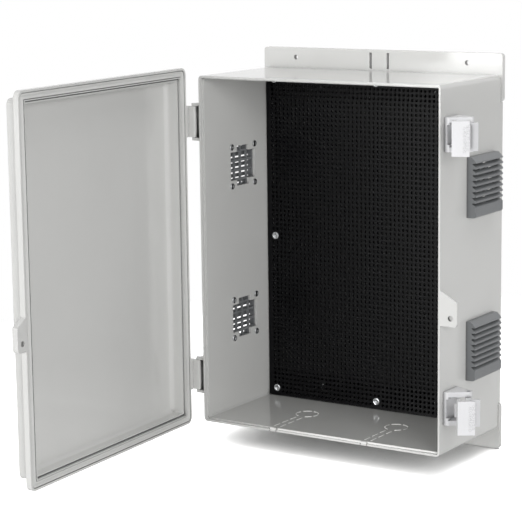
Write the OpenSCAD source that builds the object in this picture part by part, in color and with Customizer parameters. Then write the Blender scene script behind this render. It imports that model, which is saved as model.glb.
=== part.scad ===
// Wall-mounted junction box with a hinged door, drawn with the door open.
// Millimetres. Front towards -Y, right towards +X, up along +Z.
// The wall is the plane Y = 0, and the origin is the centre of the wall screws.

/* [Box] */
// Outside width of the box
box_w = 307.2; // [240:0.2:400]
// Outside height of the box
box_h = 400; // [380:1:520]
// Depth from the back of the box to its front rim
box_d = 146.4; // [135:0.1:200]
// Thickness of the box walls
wall_t = 3.6; // [3.2:0.1:5]
// Outside corner radius of the box
box_r = 4.5; // [2:0.5:10]
// Depth of the step inside the front rim
rim_step_d = 5; // [2:0.5:8]
// Thickness of the lip outside that step
rim_lip_t = 2.2; // [1.5:0.1:2.8]
// Width and height of the floor's knock-out channel
knockout_w = 9; // [6:0.5:14]
// Diameter of the floor's knock-out ring
knockout_d = 27; // [20:1:36]
// Distance of each knock-out from the middle of the floor
knockout_x = 59.3; // [40:0.1:80]
// Distance of the knock-outs from the back of the box
knockout_back = 72; // [60:1:80]

/* [Wall brackets] */
// Thickness of the bracket plates
bracket_t = 6; // [4:0.5:10]
// How far a bracket stands past each side of the box
bracket_side = 2.1; // [0.5:0.1:6]
// How far the brackets stand behind the back of the box
bracket_proud = 0.4; // [0.2:0.1:2]
// How far a bracket stands past the top or bottom of the box
bracket_out = 24; // [20:1:40]
// How far a bracket reaches behind the box
bracket_in = 29; // [22:1:50]
// Thickness of the box's back in front of a bracket's recess
shelf_t = 2.8; // [2:0.1:5]
// Corner radius of the bracket plates
bracket_r = 4; // [1:0.5:8]
// Diameter of the wall screw holes
wall_hole_d = 5.5; // [4:0.1:9]
// Distance of the wall screw holes from the centre line
wall_hole_x = 112; // [80:1:115]
// Distance of the wall screw holes past the box
wall_hole_out = 12.5; // [9:0.5:15]
// Width of the strap slots
strap_slot_w = 3.4; // [2.4:0.1:8]
// Length of the strap slots
strap_slot_l = 18.2; // [12:0.1:20]
// Distance of the strap slots from the centre line
strap_slot_x = 11.3; // [8:0.1:20]

/* [Mounting plate] */
// Height of the bosses under the mounting plate
boss_h = 2.4; // [2.2:0.1:8]
// Diameter of those bosses
boss_d = 10; // [8:0.5:14]
// Thickness of the mounting plate
plate_t = 2.2; // [1.5:0.1:4]
// Gap between the mounting plate and the box walls
plate_gap = 1.2; // [0.5:0.1:4]
// Distance of the plate screws from the plate's sides
plate_screw_side = 11; // [9:0.5:14]
// Distance of the plate screws from the plate's ends
plate_screw_end = 8.7; // [7:0.1:12]

/* [Door] */
// Opening angle of the door as drawn
door_open = 86.3; // [60:0.1:105]
// How far the door stands past the top, bottom and right of the box
door_over = 6.1; // [4:0.1:7]
// How far the door stands past the box at its hinges
hinge_over = 3.1; // [2.8:0.1:6]
// How far the door sits above the middle of the box
door_rise = 2.2; // [0:0.1:2.4]
// Gap between the box rim and the door's inner face
door_gap = 0.4; // [0.3:0.1:1]
// Thickness of the door's flange
flange_t = 6.5; // [5:0.5:9]
// Corner radius of the flange
flange_r = 8; // [5:0.5:14]
// Distance of the raised cover from the flange's edge
cover_in = 9; // [8.5:0.5:12]
// Height of the raised cover above the flange
cover_h = 15; // [8:0.5:30]
// Corner radius of the raised cover
cover_r = 7; // [3:0.5:12]
// Thickness of the door's panel
panel_t = 3; // [2:0.1:5]
// Distance of the inner tray from the flange's edge
tray_in = 14.5; // [14.4:0.1:20]
// Radius of the rounded corner round the tray's floor
tray_corner_r = 5; // [2:0.5:8]
// Depth of the flange's inner edge below its outer lip
inner_sink = 3; // [0.5:0.1:3.5]
// Width of the flange's outer lip
lip_w = 2.6; // [1.5:0.1:3]
// Width of the gasket channel
gasket_w = 7.4; // [6:0.1:8]
// Depth of the gasket channel
gasket_d = 3; // [2:0.1:3.5]
// Depth of the gasket's face below the flange
gasket_sink = 0.3; // [0.1:0.1:0.6]
// Width of the drip groove inside the gasket channel
drip_w = 1.6; // [1:0.1:1.8]
// Distance of the drip groove from the flange's edge
drip_in = 11.2; // [11.1:0.1:11.4]

/* [Hinges] */
// Distance of the hinge axis outside the box's left wall
hinge_out = 10.3; // [9.5:0.1:14]
// Distance of the hinge axis behind the rim
hinge_back = 5.8; // [5:0.1:12]
// Distance of each hinge's middle from the end of the box
hinge_end = 53; // [40:1:80]
// Length of each hinge over its two ears
hinge_l = 42.4; // [32:0.2:60]
// Thickness of the hinge ears
hinge_ear_t = 3.2; // [2.5:0.1:6]
// Outside radius of the hinge ears and knuckles
hinge_r = 3; // [2.8:0.1:4]
// Diameter of the hinge pins
hinge_pin_d = 3; // [2:0.1:3.5]
// Thickness of the web that joins the two ears of a hinge
hinge_web_t = 2.5; // [1.5:0.1:4]

/* [Padlock tabs] */
// How far the tabs stand past the box's right wall
tab_out = 20.4; // [15:0.1:24]
// Thickness of the tab on the box
tab_t = 4; // [3:0.1:5]
// Height of the tabs along the box wall
tab_h = 38.5; // [34:0.5:60]
// Top of the tabs below the middle of the box
tab_top = 17; // [10:1:30]
// Drop of the sloping top edge
tab_slope = 12; // [6:1:16]
// Corner radius of the tabs
tab_r = 4; // [2:0.5:6]
// Diameter of the padlock hole
padlock_d = 6; // [5:0.1:8]

/* [Latches] */
// Distance of each latch's middle from the end of the box
latch_end = 52.4; // [40:0.2:60]
// Height of a latch
latch_h = 36.8; // [34:0.2:42]
// Distance of the lever pin outside the box's right wall
latch_pin_out = 22; // [21.5:0.1:23]
// Distance of the lever pin behind the rim
latch_pin_back = 24.6; // [23:0.1:25]
// Diameter of the lever pins
latch_pin_d = 4; // [3:0.1:4.4]
// Thickness of the two ears that hold a lever
latch_ear_t = 5.4; // [4.5:0.1:6.5]
// Outer radius of the ears round the pin
latch_ear_r = 4.2; // [4:0.1:6]
// Thickness of the latch base on the wall
latch_base_t = 3; // [2:0.1:3.6]
// Reach of a lever from its pin to its front face
lever_l = 45.6; // [44.5:0.1:47]
// Thickness of a lever's arm
lever_t = 6; // [4.5:0.1:7]
// Thickness of a lever's hook plate
hook_t = 3.2; // [2.5:0.1:4]
// Width of the hook plate across the arm
hook_w = 18.5; // [18:0.1:19]
// Thickness of the hook's nose
nose_t = 4; // [3:0.1:4.2]
// Turn of a lever when it holds the door shut
lever_shut = -8; // [-9:0.1:-7.5]
// Turn of the upper lever as drawn
upper_lever_turn = 23.3; // [5:0.1:60]
// Turn of the lower lever as drawn
lower_lever_turn = 32.9; // [5:0.1:60]
// Length of the finger pull
pull_l = 7.6; // [6:0.1:14]
// Thickness of the finger pull
pull_t = 3; // [2:0.1:4]
// Spacing of the grip bumps
bump_pitch = 4; // [3.4:0.1:4.6]
// Rows of grip bumps
bump_rows = 7; // [3:1:7]

/* [Vents] */
// Distance of each vent's middle from the end of the box
vent_end = 110; // [100:1:130]
// Distance of the right-hand vents from the back of the box
right_vent_back = 53.4; // [45:0.1:65]
// Distance of the left-hand vents from the back of the box
left_vent_back = 63.4; // [45:0.1:70]
// Width of the vent windows
window_w = 50.6; // [46:0.2:52]
// Height of the vent windows
window_h = 46.6; // [42:0.2:48]
// Width cut from each side of a window at its corners
window_notch_w = 12.7; // [11:0.1:13]
// Height cut from each end of a window at its corners
window_notch_h = 6.8; // [6:0.1:8]
// Distance of the vent screws in from the sides of a window
vent_screw_side = 1.6; // [0.4:0.1:2.2]
// Distance of the vent screws in from the ends of a window
vent_screw_end = 0.6; // [0:0.1:1.2]
// Width of a vent cover
hood_w = 64.8; // [62:0.2:72]
// Height of a vent cover
hood_h = 65.8; // [64:0.2:76]
// How far a vent cover stands off the wall
hood_d = 11.3; // [11:0.1:18]
// How far a vent cover hangs below the middle of its vent
hood_drop = 4.7; // [3:0.1:6]
// Thickness of a vent cover at its top edge
hood_top_d = 5.7; // [5:0.1:8]
// Slots in a vent cover
slot_n = 8; // [5:1:8]
// Spacing of those slots
slot_pitch = 6.16; // [5.5:0.02:6.2]
// Height of a slot at its mouth
slot_h = 4.5; // [3:0.1:5]
// Height of a slot at its inner end
slot_throat = 1; // [0.6:0.1:2]
// Depth of a slot
slot_d = 4.6; // [4:0.1:5.5]
// Height of the plain foot below the slots
hood_foot = 11.7; // [9:0.1:12]
// Thickness of the grille plates
grille_t = 2; // [1.4:0.1:3]
// Width of the grille bars
grille_bar = 2.6; // [1.2:0.1:3]

/* [Screws] */
// Head diameter of the plate screws
plate_head_d = 9; // [7:0.1:10]
// Head diameter of the other screws
head_d = 7.4; // [6:0.1:8]
// Head height of the screws
head_h = 1.8; // [1.4:0.1:2.2]
// Shank diameter of the screws
shank_d = 3.4; // [2.8:0.1:3.6]
// Width of the cross in the screw heads
cross_w = 1.1; // [0.8:0.1:1.4]

/* [Hidden] */
// Clearance of a screw or a fixed pin in its hole
fixed_fit = 0.04;
// Clearance of a turning part on its pin
turn_fit = 0.06;
// Clearance at each end of a turning part
end_fit = 0.4;
// Clearance of a loose-laid piece in its seat
seat_fit = 0.15;
// Overshoot of cutting shapes
cut = 1;
// Sink of added shapes into what they join
join = 1;
$fn = 64;

body_grey = "#c4c4c1";
white = "#efefef";
vent_grey = "#7d7f80";
black = "#141416";
steel = "#b9bbbd";

// Planes from the wall forward
back_y = -bracket_proud;
floor_y = back_y - wall_t;
shelf_y = -bracket_t - shelf_t;
plate_back_y = shelf_y - boss_h;
plate_front_y = plate_back_y - plate_t;
rim_y = back_y - box_d;
face_y = rim_y - door_gap;
flange_y = face_y - flange_t;
cover_y = flange_y - cover_h;

// Box
inner_w = box_w - 2*wall_t;
inner_h = box_h - 2*wall_t;
inner_r = max(box_r - wall_t, 1);
side_x = box_w/2;
knockout_y = back_y - knockout_back;
groove_w = 0.9;
groove_d = 1.4;
rim_notch_d = 2;

// Brackets
bracket_w = box_w + 2*bracket_side;
bracket_h = bracket_in + bracket_out;
bracket_z = box_h/2 + bracket_out - bracket_h/2;
wall_hole_z = box_h/2 + wall_hole_out;
strap_slot_z = box_h/2 + bracket_out/2 - 0.6;
recess_fit = 0.3;
shelf_in = bracket_in + recess_fit + wall_t;
bracket_screw_x = [-box_w/4, box_w/4];
bracket_screw_z = box_h/2 - 0.62*bracket_in - wall_t;
bracket_screw_l = shelf_t + 0.6*bracket_t;

// Mounting plate
plate_w = inner_w - 2*plate_gap;
plate_h = inner_h - 2*plate_gap;
plate_r = 3;
plate_screw_x = plate_w/2 - plate_screw_side;
plate_screw_z = plate_h/2 - plate_screw_end;
plate_screw_l = plate_t + boss_h + 0.6*shelf_t;
row_x = [-plate_screw_x, 0, plate_screw_x];
pair_x = [-plate_screw_x, plate_screw_x];

// Door
door_w = box_w + door_over + hinge_over;
door_h = box_h + 2*door_over;
door_x = (door_over - hinge_over)/2;
drip_d = 2;
tray_w = door_w - 2*tray_in;
tray_h = door_h - 2*tray_in;
tray_y = cover_y + panel_t;
hinge_x = -side_x - hinge_out;
hinge_y = rim_y + hinge_back;
hinge_z = box_h/2 - hinge_end;
hinge_gap = 0.8;
hinge_web_y = hinge_y + hinge_r + hinge_gap;
knuckle_l = hinge_l - 2*hinge_ear_t - 2*end_fit;

// Latches
latch_z = box_h/2 - latch_end;
latch_x = side_x + latch_pin_out;
latch_y = rim_y + latch_pin_back;
latch_front_y = rim_y + 7.8;
latch_rear_y = latch_y + 14;
latch_block_w = 6.2;
latch_block_h = 8;
latch_block_d = 6.5;
latch_bar_w = 3.8;
latch_bar_d = 3.7;
hub_r = latch_ear_r - 0.5;
hub_l = latch_h - 2*latch_ear_t - 2*end_fit;
latch_screw_z = latch_h/2 - latch_ear_t/2;
latch_screw_y = latch_y - 4;
latch_screw_l = wall_t + 10;
latch_shank_d = min(shank_d, latch_ear_t - 2);
arm_out = 2.5;
nose_reach = rim_y - door_gap - flange_t;

// Vents
vent_z = box_h/2 - vent_end;
right_vent_y = back_y - right_vent_back;
left_vent_y = back_y - left_vent_back;
hood_roof = hood_h/2 - hood_drop - (hood_d - hood_top_d);
hood_cavity_d = min(hood_d - slot_d + 1, hood_d + hood_roof - window_h/2 - 2.2);
hood_r = 3;
vent_screw_l = wall_t + 5;
grille_edge = 1.6;
grille_cols = 4;
col_pitch = window_w/grille_cols;
waist_h = window_h - 2*window_notch_h;
vent_screw_w = window_w - 2*vent_screw_side;
vent_screw_h = window_h - 2*vent_screw_end;
row_pitch = waist_h/3;

// Flat shapes

module rounded_rect(w, h, r) {
  square([w - 2*r, h], center = true);
  square([w, h - 2*r], center = true);
  for (x = [-1, 1], y = [-1, 1])
    translate([x*(w/2 - r), y*(h/2 - r)]) circle(r);
}

module flange_ring(outer, inner) {
  difference() {
    rounded_rect(door_w - 2*outer, door_h - 2*outer, max(flange_r - outer, 1));
    rounded_rect(door_w - 2*inner, door_h - 2*inner, max(flange_r - inner, 0.6));
  }
}

module window(grow = 0) {
  square([window_w + 2*grow, waist_h + 2*grow], center = true);
  square([window_w - 2*window_notch_w + 2*grow, window_h + 2*grow], center = true);
}

// Extrusions along each axis

module along_x(x0, x1) {
  translate([x0, 0, 0]) rotate([90, 0, 90]) linear_extrude(x1 - x0) children();
}

module along_y(y0, y1) {
  translate([0, y1, 0]) rotate([90, 0, 0]) linear_extrude(y1 - y0) children();
}

module along_z(z0, z1) {
  translate([0, 0, z0]) linear_extrude(z1 - z0) children();
}

// Places

module at_door() {
  translate([hinge_x, hinge_y, 0]) rotate(-door_open)
    translate([-hinge_x, -hinge_y, 0]) children();
}

module on_panel() {
  translate([door_x, 0, door_rise]) children();
}

module on_right(y, z) {
  translate([side_x, y, z]) children();
}

module on_left(y, z) {
  mirror([1, 0, 0]) on_right(y, z) children();
}

module at_vents() {
  for (side = [-1, 1]) {
    on_right(right_vent_y, side*vent_z) children();
    on_left(left_vent_y, side*vent_z) children();
  }
}

module at_vent_screws() {
  for (y = [-1, 1], z = [-1, 1])
    translate([0, y*vent_screw_w/2, z*vent_screw_h/2]) children();
}

// A cross-head screw along +X with the underside of its head at the origin
module screw(length, d, head = head_d) {
  difference() {
    union() {
      translate([-head_h, 0, 0]) rotate([0, 90, 0]) cylinder(d = head, h = head_h);
      translate([-join/2, 0, 0]) rotate([0, 90, 0]) cylinder(d = d, h = length + join/2);
    }
    for (turn = [0, 90])
      rotate([turn, 0, 0]) translate([-head_h - cut, -0.32*head, -cross_w/2])
        cube([0.6*head_h + cut, 0.64*head, cross_w]);
  }
}

module screw_hole(length, d) {
  translate([-cut, 0, 0]) rotate([0, 90, 0])
    cylinder(d = d + 2*fixed_fit, h = length + cut);
}

// Box

// The back steps forward over each bracket, which lies in a recess behind the step
module box_shell() {
  difference() {
    along_y(rim_y, back_y) rounded_rect(box_w, box_h, box_r);
    difference() {
      along_y(rim_y - cut, floor_y) rounded_rect(inner_w, inner_h, inner_r);
      for (side = [-1, 1])
        translate([0, (shelf_y + join)/2, side*(box_h/2 - shelf_in/2)])
          cube([box_w, join - shelf_y, shelf_in], center = true);
    }
    for (side = [-1, 1])
      translate([0, (cut - bracket_t)/2, side*(box_h/2 - (bracket_in + recess_fit - cut)/2)])
        cube([box_w + 2*cut, bracket_t + cut, bracket_in + recess_fit + cut], center = true);
    along_y(rim_y - cut, rim_y + rim_step_d)
      rounded_rect(box_w - 2*rim_lip_t, box_h - 2*rim_lip_t, max(box_r - rim_lip_t, 1));
  }
}

module row_points() {
  for (x = row_x, z = [-plate_screw_z, plate_screw_z]) translate([x, 0, z]) children();
}

module pair_points() {
  for (x = pair_x) translate([x, 0, 0]) children();
}

module plate_points() {
  row_points() children();
  pair_points() children();
}

module hinge_ears() {
  for (side = [-1, 1], end = [-1, 1])
    translate([0, 0, side*hinge_z + end*(hinge_l - hinge_ear_t)/2])
      along_z(-hinge_ear_t/2, hinge_ear_t/2) {
        translate([hinge_x, hinge_y]) circle(hinge_r);
        translate([hinge_x, hinge_y - hinge_r])
          square([hinge_out + join, hinge_web_y + hinge_web_t - hinge_y + hinge_r]);
      }
  for (side = [-1, 1])
    translate([hinge_x, hinge_web_y, side*hinge_z - hinge_l/2])
      cube([hinge_out + join, hinge_web_t, hinge_l]);
}

module padlock_tab(x0) {
  x1 = side_x + tab_out;
  bottom = -tab_top - tab_h;
  difference() {
    union() {
      polygon([[x0, -tab_top], [side_x, -tab_top], [x1, -tab_top - tab_slope],
        [x1, bottom + tab_r], [x1 - tab_r, bottom], [x0, bottom]]);
      translate([x1 - tab_r, bottom + tab_r]) circle(tab_r);
    }
    translate([x1 - 8, bottom + 9]) circle(d = padlock_d);
  }
}

// Broken outline of a knock-out: a ring with a channel that runs to the rim
module knockout_outline() {
  reach = knockout_y - rim_y - rim_step_d;
  difference() {
    circle(d = knockout_d);
    circle(d = knockout_d - 2*groove_w);
    for (turn = [0:60:120]) rotate(turn + 30) square([knockout_d + cut, 3], center = true);
    translate([-knockout_w/2, -knockout_d]) square([knockout_w, knockout_d]);
  }
  for (side = [-1, 1], start = [0.26, 0.51, 0.76])
    translate([side*(knockout_w - groove_w)/2 - groove_w/2, -reach*start - reach*0.17])
      square([groove_w, reach*0.17]);
}

module box_body() color(body_grey) {
  difference() {
    union() {
      box_shell();
      row_points() translate([0, plate_back_y, 0]) rotate([-90, 0, 0])
        cylinder(d = boss_d, h = boss_h + join);
      pair_points() translate([0, plate_back_y, 0]) rotate([-90, 0, 0])
        cylinder(d = boss_d, h = floor_y - plate_back_y + join);
      hinge_ears();
      along_y(rim_y, rim_y + tab_t) padlock_tab(side_x - rim_lip_t);
    }
    plate_points() translate([0, plate_front_y, 0]) rotate(90)
      screw_hole(plate_screw_l, shank_d);
    for (x = bracket_screw_x, side = [-1, 1])
      translate([x, shelf_y, side*bracket_screw_z]) rotate(90)
        screw_hole(bracket_screw_l, shank_d);
    for (side = [-1, 1])
      translate([hinge_x, hinge_y, side*hinge_z])
        cylinder(d = hinge_pin_d + 2*fixed_fit, h = hinge_l + 2*cut, center = true);
    for (side = [-1, 1], ear = [-1, 1])
      on_right(latch_screw_y, side*latch_z + ear*latch_screw_z)
        translate([-wall_t, 0, 0]) screw_hole(latch_screw_l, latch_shank_d);
    at_vents() {
      along_x(-wall_t - cut, cut) window();
      at_vent_screws() translate([-wall_t, 0, 0]) screw_hole(vent_screw_l, shank_d);
    }
    for (side = [-1, 1])
      translate([side*knockout_x, knockout_y, -inner_h/2 - groove_d])
        linear_extrude(groove_d + cut) knockout_outline();
    for (side = [-1, 1], edge = [-1, 1])
      translate([side*knockout_x + edge*(knockout_w - groove_w)/2, rim_y, -box_h/2 + wall_t/2])
        cube([groove_w, 2*rim_notch_d, wall_t + 2*cut], center = true);
  }
}

// Wall brackets

module wall_bracket(side) color(body_grey) {
  difference() {
    translate([0, 0, side*bracket_z]) along_y(-bracket_t, 0)
      rounded_rect(bracket_w, bracket_h, bracket_r);
    for (x = [-1, 1])
      translate([x*wall_hole_x, 0, side*wall_hole_z]) rotate([90, 0, 0])
        cylinder(d = wall_hole_d, h = 2*bracket_t + cut, center = true);
    for (x = [-1, 1])
      translate([x*strap_slot_x, 0, side*strap_slot_z]) along_y(-bracket_t - cut, cut)
        rounded_rect(strap_slot_w, strap_slot_l, 0.4);
    for (x = bracket_screw_x)
      translate([x, shelf_y, side*bracket_screw_z]) rotate(90)
        screw_hole(bracket_screw_l, shank_d);
  }
}

module bracket_screws(side) color(steel) {
  for (x = bracket_screw_x)
    translate([x, shelf_y, side*bracket_screw_z]) rotate(90)
      screw(bracket_screw_l, shank_d);
}

// Mounting plate

module mounting_plate() color(black) {
  difference() {
    along_y(plate_front_y, plate_back_y) rounded_rect(plate_w, plate_h, plate_r);
    plate_points() translate([0, plate_front_y, 0]) rotate(90)
      screw_hole(plate_screw_l, shank_d);
  }
}

module plate_screws(columns, z) color(steel) {
  for (x = columns)
    translate([x, plate_front_y, z]) rotate(90) screw(plate_screw_l, shank_d, plate_head_d);
}

// Door, drawn shut and then turned open

module knuckles() {
  for (side = [-1, 1])
    translate([0, 0, side*hinge_z]) along_z(-knuckle_l/2, knuckle_l/2) {
      translate([hinge_x, hinge_y]) circle(hinge_r);
      translate([hinge_x - hinge_r, flange_y])
        square([2*hinge_r, hinge_y - flange_y]);
      translate([hinge_x - hinge_r, flange_y])
        square([hinge_r - hinge_x - side_x - hinge_over + join, flange_t]);
    }
}

// Rounded inner corner, with its two flat sides along the axes
module inner_corner(r) {
  difference() {
    translate([-join, -join]) square(r + join);
    translate([r, r]) circle(r);
  }
}

module tray_corners() {
  for (side = [0, 1]) {
    mirror([side, 0, 0]) along_z(-tray_h/2 - join, tray_h/2 + join)
      translate([-tray_w/2, tray_y]) inner_corner(tray_corner_r);
    mirror([0, 0, side]) along_x(-tray_w/2 - join, tray_w/2 + join)
      translate([tray_y, -tray_h/2]) inner_corner(tray_corner_r);
  }
}

module door() color(body_grey) at_door() {
  on_panel() tray_corners();
  difference() {
    union() {
      on_panel() {
        along_y(flange_y, face_y) rounded_rect(door_w, door_h, flange_r);
        along_y(cover_y, face_y - flange_t/2)
          rounded_rect(door_w - 2*cover_in, door_h - 2*cover_in, cover_r);
      }
      knuckles();
      along_y(flange_y, face_y) padlock_tab(side_x);
    }
    on_panel() {
      along_y(tray_y, face_y + cut) rounded_rect(tray_w, tray_h, max(cover_r - 5, 1));
      along_y(face_y - gasket_d, face_y + cut) flange_ring(lip_w, lip_w + gasket_w);
      along_y(face_y - inner_sink, face_y + cut) flange_ring(drip_in, tray_in + cut);
      along_y(face_y - inner_sink - drip_d, face_y + cut) flange_ring(drip_in, drip_in + drip_w);
    }
    for (side = [-1, 1])
      translate([hinge_x, hinge_y, side*hinge_z])
        cylinder(d = hinge_pin_d + 2*turn_fit, h = hinge_l, center = true);
  }
}

module door_gasket() color(white) at_door() on_panel() {
  along_y(face_y - gasket_d, face_y - gasket_sink)
    flange_ring(lip_w + seat_fit, lip_w + gasket_w - seat_fit);
}

module hinge_pin(side) color(steel) {
  translate([hinge_x, hinge_y, side*hinge_z])
    cylinder(d = hinge_pin_d, h = hinge_l, center = true);
}

// Latches

module latch_ear_outline() {
  foot_x = side_x - latch_x;
  front = latch_front_y - latch_y;
  rear = latch_rear_y - latch_y;
  circle(latch_ear_r);
  polygon([[foot_x, front], [foot_x + latch_block_w, front],
    0.9*latch_ear_r*[cos(-50), sin(-50)], 0.9*latch_ear_r*[cos(70), sin(70)],
    [foot_x, rear]]);
}

module latch_base(side) color(white) {
  translate([latch_x, latch_y, side*latch_z]) difference() {
    union() {
      for (end = [-1, 1])
        translate([0, 0, end*(latch_h - latch_ear_t)/2])
          along_z(-latch_ear_t/2, latch_ear_t/2) latch_ear_outline();
      translate([side_x - latch_x, latch_front_y - latch_y, -latch_h/2]) {
        cube([latch_base_t, latch_rear_y - latch_front_y, latch_h]);
        cube([latch_bar_w, latch_bar_d, latch_h]);
        for (z = [0, latch_h - latch_block_h])
          translate([0, 0, z]) cube([latch_block_w, latch_block_d, latch_block_h]);
      }
    }
    cylinder(d = latch_pin_d + 2*fixed_fit, h = latch_h + 2*cut, center = true);
    for (end = [-1, 1])
      translate([side_x - latch_x - wall_t, latch_screw_y - latch_y, end*latch_screw_z])
        screw_hole(latch_screw_l, latch_shank_d);
  }
}

module latch_screws(side) color(steel) {
  for (end = [-1, 1])
    on_right(latch_screw_y, side*latch_z + end*latch_screw_z)
      translate([-wall_t, 0, 0]) screw(latch_screw_l, latch_shank_d);
}

module latch_pin(side) color(steel) {
  translate([latch_x, latch_y, side*latch_z])
    cylinder(d = latch_pin_d, h = latch_h, center = true);
}

// Outline of the hooked lever, drawn straight with its reach along -Y
module lever_hook() {
  hook_x = arm_out - hook_w;
  reach = (latch_y - nose_reach + end_fit + sin(lever_shut)*hook_x)/cos(lever_shut);
  translate([hook_x, -lever_l]) square([hook_w, hook_t]);
  translate([hook_x, -lever_l]) square([nose_t, lever_l - reach]);
}

module latch_lever(side, turn) color(white) {
  translate([latch_x, latch_y, side*latch_z]) rotate(turn) difference() {
    union() {
      along_z(-hub_l/2, hub_l/2) {
        circle(hub_r);
        translate([arm_out - lever_t, -lever_l]) square([lever_t, lever_l]);
      }
      along_z(-latch_h/2, latch_h/2) lever_hook();
      along_z(-0.4*latch_h, 0.4*latch_h)
        translate([0, -24]) square([arm_out + pull_l, pull_t]);
      along_z(-0.2*latch_h, 0.2*latch_h)
        translate([-16, -12]) square([16, 3]);
      for (col = [0, 1], row = [0:bump_rows - 1])
        translate([arm_out - 2 - 0.85*col*bump_pitch, -lever_l + 0.7,
            (row - (bump_rows - 1)/2 + 0.25 - 0.5*col)*bump_pitch])
          sphere(d = 3);
    }
    cylinder(d = latch_pin_d + 2*turn_fit, h = latch_h, center = true);
  }
}

// Vents

// Side view of a vent cover: each slot narrows inward under a blade with a flat underside
module hood_outline() {
  top = hood_h/2 - hood_drop;
  bottom = -hood_h/2 - hood_drop;
  difference() {
    union() {
      polygon([[0, bottom], [hood_d - hood_r, bottom], [hood_d, bottom + hood_r],
        [hood_d, hood_roof], [hood_top_d, top], [0, top]]);
      translate([hood_d - hood_r, bottom + hood_r]) circle(hood_r);
    }
    for (i = [0:slot_n - 1])
      translate([hood_d, bottom + hood_foot + i*slot_pitch])
        polygon([[-slot_d, slot_h - slot_throat], [0, 0], [cut, 0],
          [cut, slot_h], [-slot_d, slot_h]]);
  }
}

module vent_cover() color(vent_grey) {
  difference() {
    along_y(-hood_w/2, hood_w/2) hood_outline();
    along_x(-cut, hood_cavity_d) window();
    along_x(-cut, grille_t) window(grille_edge + seat_fit);
    at_vent_screws() translate([-wall_t, 0, 0]) screw_hole(vent_screw_l, shank_d);
  }
}

module vent_grille() color(vent_grey) {
  cell_w = col_pitch - grille_bar;
  cell_h = row_pitch - grille_bar;
  along_x(0, grille_t) difference() {
    window(grille_edge);
    for (col = [0:grille_cols - 1], row = [-1:1])
      translate([(col - (grille_cols - 1)/2)*col_pitch, row*row_pitch])
        square([cell_w, cell_h], center = true);
    for (col = [-0.5, 0.5], end = [-1, 1])
      translate([col*col_pitch, end*(waist_h/2 + grille_bar/4 + window_notch_h/2)])
        square([cell_w - (col_pitch - window_w/2 + window_notch_w > grille_bar ? grille_bar : 0),
          window_notch_h - grille_bar/2], center = true);
  }
}

module vent_screws() color(steel) {
  at_vent_screws() translate([-wall_t, 0, 0]) screw(vent_screw_l, shank_d);
}

box_body();
wall_bracket(1);  // upper_wall_bracket
wall_bracket(-1);  // lower_wall_bracket
bracket_screws(1);  // upper_bracket_screws
bracket_screws(-1);  // lower_bracket_screws
mounting_plate();
plate_screws(row_x, plate_screw_z);  // upper_plate_screws
plate_screws(pair_x, 0);  // middle_plate_screws
plate_screws(row_x, -plate_screw_z);  // lower_plate_screws
door();
door_gasket();
hinge_pin(1);  // upper_hinge_pin
hinge_pin(-1);  // lower_hinge_pin
latch_base(1);  // upper_latch_base
latch_base(-1);  // lower_latch_base
latch_screws(1);  // upper_latch_screws
latch_screws(-1);  // lower_latch_screws
latch_pin(1);  // upper_latch_pin
latch_pin(-1);  // lower_latch_pin
latch_lever(1, upper_lever_turn);  // upper_latch_lever
latch_lever(-1, lower_lever_turn);  // lower_latch_lever
on_right(right_vent_y, vent_z) vent_cover();  // right_upper_vent_cover
on_right(right_vent_y, -vent_z) vent_cover();  // right_lower_vent_cover
on_left(left_vent_y, vent_z) vent_cover();  // left_upper_vent_cover
on_left(left_vent_y, -vent_z) vent_cover();  // left_lower_vent_cover
on_right(right_vent_y, vent_z) vent_grille();  // right_upper_vent_grille
on_right(right_vent_y, -vent_z) vent_grille();  // right_lower_vent_grille
on_left(left_vent_y, vent_z) vent_grille();  // left_upper_vent_grille
on_left(left_vent_y, -vent_z) vent_grille();  // left_lower_vent_grille
on_right(right_vent_y, vent_z) vent_screws();  // right_upper_vent_screws
on_right(right_vent_y, -vent_z) vent_screws();  // right_lower_vent_screws
on_left(left_vent_y, vent_z) vent_screws();  // left_upper_vent_screws
on_left(left_vent_y, -vent_z) vent_screws();  // left_lower_vent_screws
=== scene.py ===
import math
import bpy
from mathutils import Matrix, Vector


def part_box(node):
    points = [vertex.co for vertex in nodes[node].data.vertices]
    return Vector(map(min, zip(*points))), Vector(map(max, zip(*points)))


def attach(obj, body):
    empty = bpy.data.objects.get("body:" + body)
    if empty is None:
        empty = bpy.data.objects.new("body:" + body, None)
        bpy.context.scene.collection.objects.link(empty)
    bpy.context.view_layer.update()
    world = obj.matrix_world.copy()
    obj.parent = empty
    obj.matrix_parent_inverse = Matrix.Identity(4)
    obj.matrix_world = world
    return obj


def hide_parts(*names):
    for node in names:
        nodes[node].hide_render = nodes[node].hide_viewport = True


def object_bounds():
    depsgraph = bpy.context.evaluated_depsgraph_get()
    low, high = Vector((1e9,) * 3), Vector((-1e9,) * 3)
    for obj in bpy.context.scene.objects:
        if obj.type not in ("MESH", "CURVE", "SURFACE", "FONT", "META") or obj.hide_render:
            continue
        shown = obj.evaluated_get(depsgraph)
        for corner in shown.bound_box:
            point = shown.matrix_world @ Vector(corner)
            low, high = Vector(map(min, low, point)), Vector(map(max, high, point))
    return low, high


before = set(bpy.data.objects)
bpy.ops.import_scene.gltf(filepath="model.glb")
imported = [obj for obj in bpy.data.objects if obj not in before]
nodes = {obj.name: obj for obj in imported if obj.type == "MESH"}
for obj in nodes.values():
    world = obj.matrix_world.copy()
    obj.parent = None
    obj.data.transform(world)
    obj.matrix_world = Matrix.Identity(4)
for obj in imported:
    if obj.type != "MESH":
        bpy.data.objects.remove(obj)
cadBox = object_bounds()
mm = 0.001
scene = bpy.context.scene
scene.view_settings.view_transform = "Standard"
print("frame loaded:", len(nodes), "nodes")


# Camera, matched to the photograph

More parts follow.
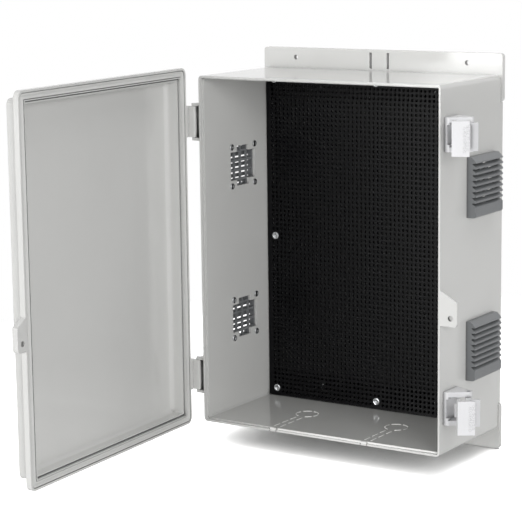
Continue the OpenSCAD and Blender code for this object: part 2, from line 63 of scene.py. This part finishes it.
cameraSet = {
    "azimuth": 33.197, "elevation": 10.007, "roll": -0.724,  # degrees, from the front
    "focalPixels": 1945.627, "framePixels": 522.0,
    "aside": -136.516, "above": -19.87, "distance": 2254.796,  # mm
    "wallGap": 7.55,  # mm, from the fitted origin to the wall
    "sensor": 36.0,  # mm
    "seesTo": 30.0,  # m
}


def placeCamera(s):
    turn, tilt, roll = (math.radians(s[k]) for k in ("azimuth", "elevation", "roll"))
    back = Vector((
        math.sin(turn) * math.cos(tilt),
        -math.cos(turn) * math.cos(tilt),
        math.sin(tilt),
    ))
    level = Vector((math.cos(turn), math.sin(turn), 0))
    upright = back.cross(level)
    right = level * math.cos(roll) + upright * math.sin(roll)
    up = upright * math.cos(roll) - level * math.sin(roll)
    place = right * s["aside"] + up * s["above"] + back * s["distance"]
    bpy.ops.object.camera_add()
    camera = bpy.context.object
    camera.matrix_world = Matrix((right, up, back)).transposed().to_4x4()
    camera.location = (place - Vector((0, s["wallGap"], 0))) * mm
    camera.data.sensor_width = s["sensor"]
    camera.data.lens = s["sensor"] * s["focalPixels"] / s["framePixels"]
    camera.data.clip_end = s["seesTo"]
    scene.camera = camera


placeCamera(cameraSet)
print("camera placed")


# Materials

mixA, mixB, mixOut = 6, 7, 2  # the colour sockets of a Mix node


def hexColour(text):
    parts = [int(text[i:i + 2], 16) / 255 for i in (1, 3, 5)]
    # sRGB to linear
    linear = [c / 12.92 if c <= 0.04045 else ((c + 0.055) / 1.055) ** 2.4 for c in parts]
    return (*linear, 1.0)


def addNode(tree, kind, settings=None, links=None):
    node = tree.nodes.new(kind)
    for name, value in (settings or {}).items():
        if isinstance(name, int) or name in node.inputs:
            node.inputs[name].default_value = value
        else:
            setattr(node, name, value)
    for name, source in (links or {}).items():
        tree.links.new(source, node.inputs[name])
    return node


def freshMaterial(name):
    material = bpy.data.materials.new(name)
    material.use_nodes = True
    return material, material.node_tree, material.node_tree.nodes["Principled BSDF"]


def grainedFinish(tree, shader, place, s):
    grain = addNode(tree, "ShaderNodeTexNoise",
                    {"Scale": 1 / (s["grain"] * mm), "Detail": s["grainDetail"]},
                    {"Vector": place}).outputs["Fac"]
    rough = addNode(tree, "ShaderNodeMapRange",
                    {"To Min": s["roughness"] * (1 - s["roughSpread"]),
                     "To Max": s["roughness"] * (1 + s["roughSpread"])},
                    {"Value": grain})
    edge = addNode(tree, "ShaderNodeBevel",  # no edge is quite sharp
                   {"samples": s["edgeSamples"], "Radius": s["edge"] * mm})
    bump = addNode(tree, "ShaderNodeBump",
                   {"Strength": s["bump"], "Distance": s["depth"] * mm},
                   {"Height": grain, "Normal": edge.outputs["Normal"]})
    tree.links.new(rough.outputs["Result"], shader.inputs["Roughness"])
    tree.links.new(bump.outputs["Normal"], shader.inputs["Normal"])
    return grain


# what the moulded materials share, unless one has its own
mouldSet = {
    "cloudsPerMetre": 14.0, "cloudDetail": 3.0,  # clouds of colour, about 70 mm each
    "grainDetail": 2.0, "roughSpread": 0.15, "bump": 0.6,
    "gap": (0.3, 0.9),  # how open a crease is where it is darkest, and where it is clear
    "gapSamples": 6, "edgeSamples": 4,
    "ior": 1.54,  # ABS
}

# grain, depth, edge and crease are in mm, the grain coarser than a real one so that it shows
# creaseShade is painted shade: the share of its colour that a crease loses where it is darkest
plasticSet = {
    # moulded ABS, light grey: glossy walls that faintly mirror what stands near them
    "bodyAbs": {
        "colour": "#DBDBD9", "shade": "#D6D6D4", "roughness": 0.1, "shine": 0.5,
        "grain": 0.9, "depth": 0.002, "edge": 0.7,
        "crease": 10.0, "gap": (0.25, 0.5), "creaseShade": 0.85,
    },
    # moulded ABS, near white: satin latches with painted shade in their gaps
    "latchAbs": {
        "colour": "#E4E4E6", "shade": "#DEDEE0", "roughness": 0.26, "shine": 0.5,
        "grain": 0.8, "depth": 0.004, "edge": 0.4,
        "crease": 5.0, "creaseShade": 0.85,
    },
    # moulded ABS, mid grey with a fine spark texture: dull vents with painted shade in their
    # slots
    "ventAbs": {
        "colour": "#818385", "shade": "#77797B", "roughness": 0.4, "shine": 0.4,
        "grain": 0.6, "depth": 0.012, "edge": 0.25,
        "crease": 4.0, "creaseShade": 0.55,
    },
    # black ABS sheet with a fine leather grain: it throws back little light, and painted shade
    # darkens its holes
    "plateAbs": {
        "colour": "#08080A", "shade": "#050507", "roughness": 0.4, "shine": 0.15,
        "grain": 0.7, "depth": 0.008, "edge": 0.2,
        "crease": 2.5, "creaseShade": 0.97,
    },
    # the body's ABS, whitened where the knock-outs are scored: pale raised dashes
    "scoredAbs": {
        "colour": "#F2F2F0", "shade": "#E6E6E4", "roughness": 0.45, "shine": 0.5,
        "grain": 0.5, "depth": 0.01, "edge": 0.2,
        "crease": 0.3, "creaseShade": 0.1,
    },
    # silicone foam cord: a pale, dull gasket with painted shade between its beads
    "gasketFoam": {
        "colour": "#E0E0DE", "shade": "#D6D6D4", "roughness": 0.6, "shine": 0.3,
        "grain": 0.5, "depth": 0.02, "edge": 0.3,
        "crease": 3.0, "creaseShade": 0.6,
    },
}

# painted shade where light hardly reaches: on the wall behind the plate's holes, and in the
# padlock hole
shadeSet = {
    "plateInset": 3.0, "wallReach": 7.6,  # mm
    "padlockHole": (166.0, -144.8, -46.5), "padlockSize": (6.4, 2.8, 6.4),  # mm
    "left": 0.09,  # share of the light
    "fade": 0.5,  # mm
}


def shadedPlaces(tree, place, light, s):
    low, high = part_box("mounting_plate")
    inset, reach = s["plateInset"] * mm, s["wallReach"] * mm
    wallMiddle = Vector(((low.x + high.x) / 2, high.y + reach / 2, (low.z + high.z) / 2))
    wallSize = Vector((high.x - low.x - 2 * inset, reach, high.z - low.z - 2 * inset))
    holeMiddle, holeSize = Vector(s["padlockHole"]) * mm, Vector(s["padlockSize"]) * mm
    for middle, size in ((wallMiddle, wallSize), (holeMiddle, holeSize)):
        off = addNode(tree, "ShaderNodeVectorMath",
                      {"operation": "SUBTRACT", 1: middle}, {0: place})
        away = addNode(tree, "ShaderNodeVectorMath",
                       {"operation": "ABSOLUTE"}, {0: off.outputs["Vector"]})
        past = addNode(tree, "ShaderNodeVectorMath",
                       {"operation": "SUBTRACT", 1: size / 2}, {0: away.outputs["Vector"]})
        axes = addNode(tree, "ShaderNodeSeparateXYZ", None, {0: past.outputs["Vector"]})
        wide = addNode(tree, "ShaderNodeMath", {"operation": "MAXIMUM"},
                       {0: axes.outputs["X"], 1: axes.outputs["Y"]})
        most = addNode(tree, "ShaderNodeMath", {"operation": "MAXIMUM"},
                       {0: wide.outputs["Value"], 1: axes.outputs["Z"]})
        clear = addNode(tree, "ShaderNodeMapRange",
                        {"From Max": s["fade"] * mm, "To Min": s["left"]},
                        {"Value": most.outputs["Value"]})
        shaded = addNode(tree, "ShaderNodeMath", {"operation": "MULTIPLY"},
                         {0: light, 1: clear.outputs["Result"]})
        light = shaded.outputs["Value"]
    return light


def mouldedPlastic(name, s):
    material, tree, shader = freshMaterial(name)
    place = addNode(tree, "ShaderNodeTexCoord").outputs["Object"]
    drift = addNode(tree, "ShaderNodeTexNoise",
                    {"Scale": s["cloudsPerMetre"], "Detail": s["cloudDetail"]}, {"Vector": place})
    colour = addNode(tree, "ShaderNodeMix",
                     {"data_type": "RGBA",
                      mixA: hexColour(s["shade"]), mixB: hexColour(s["colour"])},
                     {"Factor": drift.outputs["Fac"]})
    # painted shade: ambient occlusion darkens the colour in creases, gaps and holes
    corner = addNode(tree, "ShaderNodeAmbientOcclusion",
                     {"samples": s["gapSamples"], "Distance": s["crease"] * mm})
    dim = addNode(tree, "ShaderNodeMapRange",
                  {"From Min": s["gap"][0], "From Max": s["gap"][1], "To Min": 1 - s["creaseShade"]},
                  {"Value": corner.outputs["AO"]})
    light = dim.outputs["Result"]
    # painted shade on the wall behind the plate's holes and in the padlock hole
    if name == "bodyAbs":
        light = shadedPlaces(tree, place, light, shadeSet)
    dusty = addNode(tree, "ShaderNodeMix",  # painted shade in gaps, creases and holes
                    {"data_type": "RGBA", "blend_type": "MULTIPLY", "Factor": 1.0},
                    {mixA: colour.outputs[mixOut], mixB: light})
    grainedFinish(tree, shader, place, s)
    shader.inputs["IOR"].default_value = s["ior"]
    shader.inputs["Specular IOR Level"].default_value = s["shine"]
    tree.links.new(dusty.outputs[mixOut], shader.inputs["Base Color"])
    return material


plastics = {name: mouldedPlastic(name, {**mouldSet, **s}) for name, s in plasticSet.items()}

# zinc-plated steel, finely pickled: bright heads with soft rims and dark recesses
zincSet = {
    "colour": "#E2E4E6", "shade": "#C4C6C9", "roughness": 0.18, "roughSpread": 0.3,
    "grain": 0.4, "grainDetail": 3.0, "depth": 0.002, "bump": 0.5,
    "edge": 0.15, "edgeSamples": 4,
}


def zincSteel(s):
    material, tree, shader = freshMaterial("zincSteel")
    place = addNode(tree, "ShaderNodeTexCoord").outputs["Object"]
    pickle = grainedFinish(tree, shader, place, s)
    colour = addNode(tree, "ShaderNodeMix",
                     {"data_type": "RGBA",
                      mixA: hexColour(s["shade"]), mixB: hexColour(s["colour"])},
                     {"Factor": pickle})
    shader.inputs["Metallic"].default_value = 1.0
    tree.links.new(colour.outputs[mixOut], shader.inputs["Base Color"])
    return material


zinc = zincSteel(zincSet)


def dress(names, material):
    for name in names:
        nodes[name].data.materials.clear()
        nodes[name].data.materials.append(material)


dress(["box_body", "upper_wall_bracket", "lower_wall_bracket", "door"], plastics["bodyAbs"])
dress([n for n in nodes if "latch_base" in n or "latch_lever" in n], plastics["latchAbs"])
dress([n for n in nodes if "vent_cover" in n or "vent_grille" in n], plastics["ventAbs"])
dress([n for n in nodes if n.endswith("screws") or n.endswith("pin")], zinc)
dress(["mounting_plate"], plastics["plateAbs"])
dress(["door_gasket"], plastics["gasketFoam"])
print("materials on", len(nodes), "nodes")


# Modelling helpers

facing = 0.999  # cosine, above which a face looks straight along a direction
near = 0.1 * mm  # within which a point lies on a line or plane
merge = 0.001 * mm
flat = math.radians(1)  # faces that turn less than this are one


def onlySelect(obj):
    bpy.ops.object.select_all(action="DESELECT")
    obj.select_set(True)
    bpy.context.view_layer.objects.active = obj


def pick(obj, kind, chosen):
    bpy.ops.object.mode_set(mode="EDIT")
    bpy.ops.mesh.select_mode(type=kind)
    bpy.ops.mesh.select_all(action="DESELECT")
    bpy.ops.object.mode_set(mode="OBJECT")
    mesh = obj.data
    for item in {"VERT": mesh.vertices, "EDGE": mesh.edges, "FACE": mesh.polygons}[kind]:
        item.select = chosen(item)
    bpy.ops.object.mode_set(mode="EDIT")


def copyOf(nodeName, name):
    source = nodes[nodeName]
    piece = bpy.data.objects.new(name, source.data.copy())
    scene.collection.objects.link(piece)
    piece.matrix_world = source.matrix_world
    onlySelect(piece)
    bpy.ops.object.mode_set(mode="EDIT")
    bpy.ops.mesh.select_all(action="SELECT")
    bpy.ops.mesh.remove_doubles(threshold=merge)
    bpy.ops.object.mode_set(mode="OBJECT")
    return piece


def handOver(piece, body, nodeName, material, smooth=None):
    bpy.ops.object.mode_set(mode="OBJECT")
    if smooth:
        bpy.ops.object.shade_smooth_by_angle(angle=math.radians(smooth))
    piece.data.materials.clear()
    piece.data.materials.append(material)
    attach(piece, body)
    if nodeName:
        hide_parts(nodeName)
    print(piece.name, len(piece.data.polygons), "faces")


# Screws: pan heads with rounded rims

screwSet = {
    "round": 1.1,  # mm
    "steps": 3,
    "across": 16.0,  # mm, points closer than this belong to one screw
    "smooth": 40,  # degrees
}
plateHeads = []  # where the plate has no holes


def screwMiddles(mesh, across):
    groups = []
    for v in mesh.vertices:
        group = next((g for g in groups if (g[0] - v.co).length < across * mm), None)
        if group:
            group.append(v.co)
        else:
            groups.append([v.co])
    return [Vector([(min(axis) + max(axis)) / 2 for axis in zip(*g)]) for g in groups]


def panHeadScrews(name, s):
    piece = copyOf(name, name.replace("screws", "panHeads"))
    mesh = piece.data
    middles = screwMiddles(mesh, s["across"])
    ends = []
    for way in (Vector((1, 0, 0)), Vector((-1, 0, 0)), Vector((0, 1, 0)), Vector((0, -1, 0))):
        reach = max(way.dot(v.co) for v in mesh.vertices) - near
        faces = [f for f in mesh.polygons
                 if way.dot(f.normal) > facing and way.dot(f.center) > reach]
        ends.append((way, faces))
    way, top = max(ends, key=lambda end: sum(f.area for f in end[1]))  # the heads' outer faces
    onTop = {k for f in top for k in f.edge_keys}

    def fromAxis(i):
        off = min((mesh.vertices[i].co - m for m in middles), key=lambda d: d.length)
        return (off - way * off.dot(way)).length

    radius = max(fromAxis(i) for f in top for i in f.vertices)

    def onRim(e):
        return e.key in onTop and all(abs(fromAxis(i) - radius) < near for i in e.vertices)

    pick(piece, "EDGE", onRim)
    bpy.ops.mesh.bevel(offset=s["round"] * mm, segments=s["steps"], profile=0.5)
    handOver(piece, "box", name, zinc, smooth=s["smooth"])
    if "plate" in name:
        plateHeads.extend(middles)


for name in [n for n in nodes if n.endswith("screws")]:
    panHeadScrews(name, screwSet)


# Perforated mounting plate

plateSet = {
    "pitch": 5.53, "hole": 3.8,  # mm
    "columns": 52, "rows": 70, "sides": 8,
    "screwClear": 6.2,  # mm, no hole's middle is this near a screw's
    "merge": 0.02,  # mm, between cells
}


def perforatedCell(s):
    upright = (math.pi / 2, 0, 0)
    radius = s["hole"] * mm / 2
    bpy.ops.object.select_all(action="DESELECT")
    bpy.ops.mesh.primitive_plane_add(size=s["pitch"] * mm, location=(0, 0, 0), rotation=upright)
    cell = bpy.context.object
    bpy.ops.object.transform_apply(location=False, rotation=True, scale=False)
    bpy.ops.object.mode_set(mode="EDIT")
    bpy.ops.mesh.subdivide(number_cuts=1)
    pick(cell, "VERT", lambda v: v.co.length < near)
    bpy.ops.mesh.delete(type="VERT")  # what is left is the cell's rim
    bpy.ops.mesh.primitive_circle_add(vertices=s["sides"], radius=radius, rotation=upright)
    bpy.ops.mesh.select_all(action="SELECT")
    bpy.ops.mesh.bridge_edge_loops()
    bpy.ops.object.mode_set(mode="OBJECT")
    if cell.data.polygons[0].normal.y > 0:
        pick(cell, "FACE", lambda f: True)
        bpy.ops.mesh.flip_normals()  # the cell faces the door
        bpy.ops.object.mode_set(mode="OBJECT")
    return cell


def perforatedPlate(s):
    low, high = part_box("mounting_plate")
    pitch = s["pitch"] * mm
    plate = perforatedCell(s)
    plate.name = "perforatedPlate"
    mesh = plate.data
    for count, step in ((s["columns"], (pitch, 0, 0)), (s["rows"], (0, 0, pitch))):
        array = plate.modifiers.new("grid", "ARRAY")
        array.count = count
        array.use_relative_offset = False
        array.use_constant_offset = True
        array.constant_offset_displace = step
        array.use_merge_vertices = True
        array.merge_threshold = s["merge"] * mm
        bpy.ops.object.modifier_apply(modifier=array.name)
    bpy.ops.object.mode_set(mode="EDIT")
    bpy.ops.mesh.select_all(action="SELECT")
    firstCell = (-(s["columns"] - 1) * pitch / 2, low.y, -(s["rows"] - 1) * pitch / 2)
    bpy.ops.transform.translate(value=firstCell)
    clear = (s["screwClear"] + s["hole"] / 2) * mm

    def byScrew(v):
        return any(math.hypot(v.co.x - m.x, v.co.z - m.z) < clear for m in plateHeads)

    pick(plate, "VERT", byScrew)
    bpy.ops.mesh.fill_holes(sides=s["sides"])  # no holes under the screw heads
    halfX, halfZ = s["columns"] * pitch / 2, s["rows"] * pitch / 2

    def outside(co):
        return abs(abs(co.x) - halfX) < near or abs(abs(co.z) - halfZ) < near

    pick(plate, "EDGE", lambda e: all(outside(mesh.vertices[i].co) for i in e.vertices))
    bpy.ops.mesh.extrude_region_move()  # the plain margin
    margin = (high.x / halfX, 1, high.z / halfZ)
    bpy.ops.transform.resize(value=margin, center_override=(0, low.y, 0))
    bpy.ops.object.mode_set(mode="OBJECT")
    sheet = plate.modifiers.new("sheet", "SOLIDIFY")
    sheet.thickness = high.y - low.y
    sheet.offset = -1  # it grows to the back
    bpy.ops.object.modifier_apply(modifier=sheet.name)
    handOver(plate, "box", "mounting_plate", plastics["plateAbs"])


perforatedPlate(plateSet)


# Knock-outs in the floor: broken ridges round a ring and along its channel

scoreSet = {
    "aside": 59.3, "reach": 20.0,  # mm, where the rings are
    "groove": 1.4, "proud": 0.7, "round": 0.25,  # mm
    "steps": 2,
    "smooth": 40,  # degrees
}


def scoredKnockouts(s):
    piece = copyOf("box_body", "scoredKnockouts")
    mesh = piece.data

    def faceUp(f):
        byRing = abs(abs(f.center.x) - s["aside"] * mm) < s["reach"] * mm
        return byRing and f.normal.z > facing

    low = [f for f in mesh.polygons if faceUp(f) and f.center.z < 0]
    bottom = max(low, key=lambda f: f.area).center.z - s["groove"] * mm
    pick(piece, "FACE", lambda f: not (faceUp(f) and abs(f.center.z - bottom) < near))
    bpy.ops.mesh.delete(type="FACE")  # the grooves' bottoms are left
    bpy.ops.mesh.select_all(action="SELECT")
    bpy.ops.mesh.dissolve_limited(angle_limit=flat)
    rise = (0, 0, (s["groove"] + s["proud"]) * mm)
    bpy.ops.mesh.extrude_region_move(TRANSFORM_OT_translate={"value": rise})
    bpy.ops.mesh.region_to_loop()
    bpy.ops.mesh.bevel(offset=s["round"] * mm, segments=s["steps"], profile=0.5)
    bpy.ops.mesh.select_all(action="SELECT")
    bpy.ops.mesh.fill_holes(sides=0)  # the undersides
    bpy.ops.mesh.normals_make_consistent(inside=False)
    handOver(piece, "box", None, plastics["scoredAbs"], smooth=s["smooth"])


scoredKnockouts(scoreSet)


# Door gasket: a double bead of foam cord

gasketSet = {
    "round": 1.5, "valleyIn": 1.3, "valleyDeep": 1.2,  # mm
    "steps": 4,
    "wide": 500.0,  # square mm, a face smaller than this isn't the front
    "smooth": 50,  # degrees
}


def beadedGasket(s):
    gasket = copyOf("door_gasket", "beadedGasket")
    mesh = gasket.data
    bpy.ops.object.mode_set(mode="EDIT")
    bpy.ops.mesh.select_all(action="SELECT")
    bpy.ops.mesh.dissolve_limited(angle_limit=flat)
    bpy.ops.object.mode_set(mode="OBJECT")
    wide = [f for f in mesh.polygons if f.area > s["wide"] * mm * mm]
    front = max(wide, key=lambda f: f.normal.x).normal.copy()  # the side that meets the box
    pick(gasket, "FACE", lambda f: f.normal.dot(front) > facing)
    bpy.ops.mesh.region_to_loop()
    bpy.ops.mesh.bevel(offset=s["round"] * mm, segments=s["steps"], profile=0.5)
    pick(gasket, "FACE", lambda f: f.normal.dot(front) > facing)
    bpy.ops.mesh.inset(thickness=s["valleyIn"] * mm, depth=0)
    bpy.ops.transform.translate(value=tuple(-front * s["valleyDeep"] * mm))
    handOver(gasket, "door", "door_gasket", plastics["gasketFoam"], smooth=s["smooth"])


beadedGasket(gasketSet)


# Floor, backdrop and lights

floorSet = {
    "size": 9.0, "gap": 0.0005,  # m
    "colour": "#F4F4F4",
    "seenWhite": 2.8, "seenShadow": 0.9,  # what the eye meets in the open, and in the painted shadow under the part
    "shadowReach": 0.12,  # m
    "shadowRange": (0.1, 0.55),  # how open it is where it is darkest, and where it is clear
    "shadowSamples": 16,
    "fadeFrom": 0.45, "fadeTo": 0.85,  # m, from the middle
}


def paleFloor(s):
    bpy.ops.mesh.primitive_plane_add(size=s["size"], location=(0, 0, cadBox[0][2] - s["gap"]))
    floor = bpy.context.object
    floor.name = "floor"
    material, tree, shader = freshMaterial("paleFloor")
    tree.nodes.remove(shader)
    pale = addNode(tree, "ShaderNodeBsdfDiffuse", {"Color": hexColour(s["colour"])})
    # painted contact shadow: ambient occlusion darkens the floor under the part
    contact = addNode(tree, "ShaderNodeAmbientOcclusion",
                      {"samples": s["shadowSamples"], "Distance": s["shadowReach"]})
    depth = addNode(tree, "ShaderNodeMapRange",
                    {"From Min": s["shadowRange"][0], "From Max": s["shadowRange"][1],
                     "To Min": s["seenShadow"], "To Max": s["seenWhite"]},
                    {"Value": contact.outputs["AO"]})
    lit = addNode(tree, "ShaderNodeBsdfDiffuse",  # white to the eye, with the lamps' shadow and a painted contact shadow
                  None, {"Color": depth.outputs["Result"]})
    white = addNode(tree, "ShaderNodeEmission", {"Color": (1, 1, 1, 1), "Strength": 1.0})
    place = addNode(tree, "ShaderNodeTexCoord").outputs["Object"]
    away = addNode(tree, "ShaderNodeVectorMath", {"operation": "LENGTH"}, {0: place})
    fade = addNode(tree, "ShaderNodeMapRange",
                   {"From Min": s["fadeFrom"], "From Max": s["fadeTo"]},
                   {"Value": away.outputs["Value"]})
    seen = addNode(tree, "ShaderNodeMixShader", None,
                   {0: fade.outputs["Result"],
                    1: lit.outputs["BSDF"], 2: white.outputs["Emission"]})
    path = addNode(tree, "ShaderNodeLightPath")
    mix = addNode(tree, "ShaderNodeMixShader", None,
                  {0: path.outputs["Is Camera Ray"],
                   1: pale.outputs["BSDF"], 2: seen.outputs["Shader"]})
    tree.links.new(mix.outputs["Shader"], tree.nodes["Material Output"].inputs["Surface"])
    floor.data.materials.append(material)


paleFloor(floorSet)

worldSet = {"seenWhite": 1.0, "light": 0.1}  # to the eye, and on the part


def whiteWorld(s):
    world = bpy.data.worlds.new("studio")
    scene.world = world
    world.use_nodes = True
    tree = world.node_tree
    tree.nodes.clear()
    path = addNode(tree, "ShaderNodeLightPath")
    direct = addNode(tree, "ShaderNodeMath", {"operation": "MAXIMUM"},
                     {0: path.outputs["Is Camera Ray"], 1: path.outputs["Is Transmission Ray"]})
    seen = addNode(tree, "ShaderNodeMath", {"operation": "MAXIMUM"},
                   {0: direct.outputs["Value"], 1: path.outputs["Is Glossy Ray"]})
    strength = addNode(tree, "ShaderNodeMapRange",
                       {"To Min": s["light"], "To Max": s["seenWhite"]},
                       {"Value": seen.outputs["Value"]})
    sky = addNode(tree, "ShaderNodeBackground",
                  {"Color": (1, 1, 1, 1)}, {"Strength": strength.outputs["Result"]})
    addNode(tree, "ShaderNodeOutputWorld", None, {"Surface": sky.outputs["Background"]})


whiteWorld(worldSet)

# places and sizes in m, power in W
lampSet = {
    "side": {
        "place": (3.37, -2.83, 0.94), "aim": (0, -0.15, 0),
        "size": 2.2, "power": 96, "mirrored": False,
    },
    "front": {
        "place": (-1.2, -4.62, 0.5), "aim": (0, -0.15, 0),
        "size": 2.2, "power": 124, "mirrored": True,
    },
    "fill": {
        "place": (-2.7, 1.7, 0.9), "aim": (-0.1, -0.1, 0),
        "size": 2.0, "power": 60, "mirrored": False,
    },
    "top": {
        "place": (0.5, 0.35, 2.6), "aim": (0.3, 0.1, 0),
        "size": 2.4, "power": 36, "mirrored": False,
    },
}


def softLamps(s):
    for name, lamp in s.items():
        bpy.ops.object.light_add(type="AREA", location=lamp["place"])
        light = bpy.context.object
        light.name = name
        light.data.size = lamp["size"]
        light.data.energy = lamp["power"]
        light.visible_glossy = lamp["mirrored"]  # the glossy walls show the backdrop and one lamp
        aim = Vector(lamp["aim"]) - Vector(lamp["place"])
        light.rotation_euler = aim.to_track_quat("-Z", "Y").to_euler()


softLamps(lampSet)
print("stage and lights set")
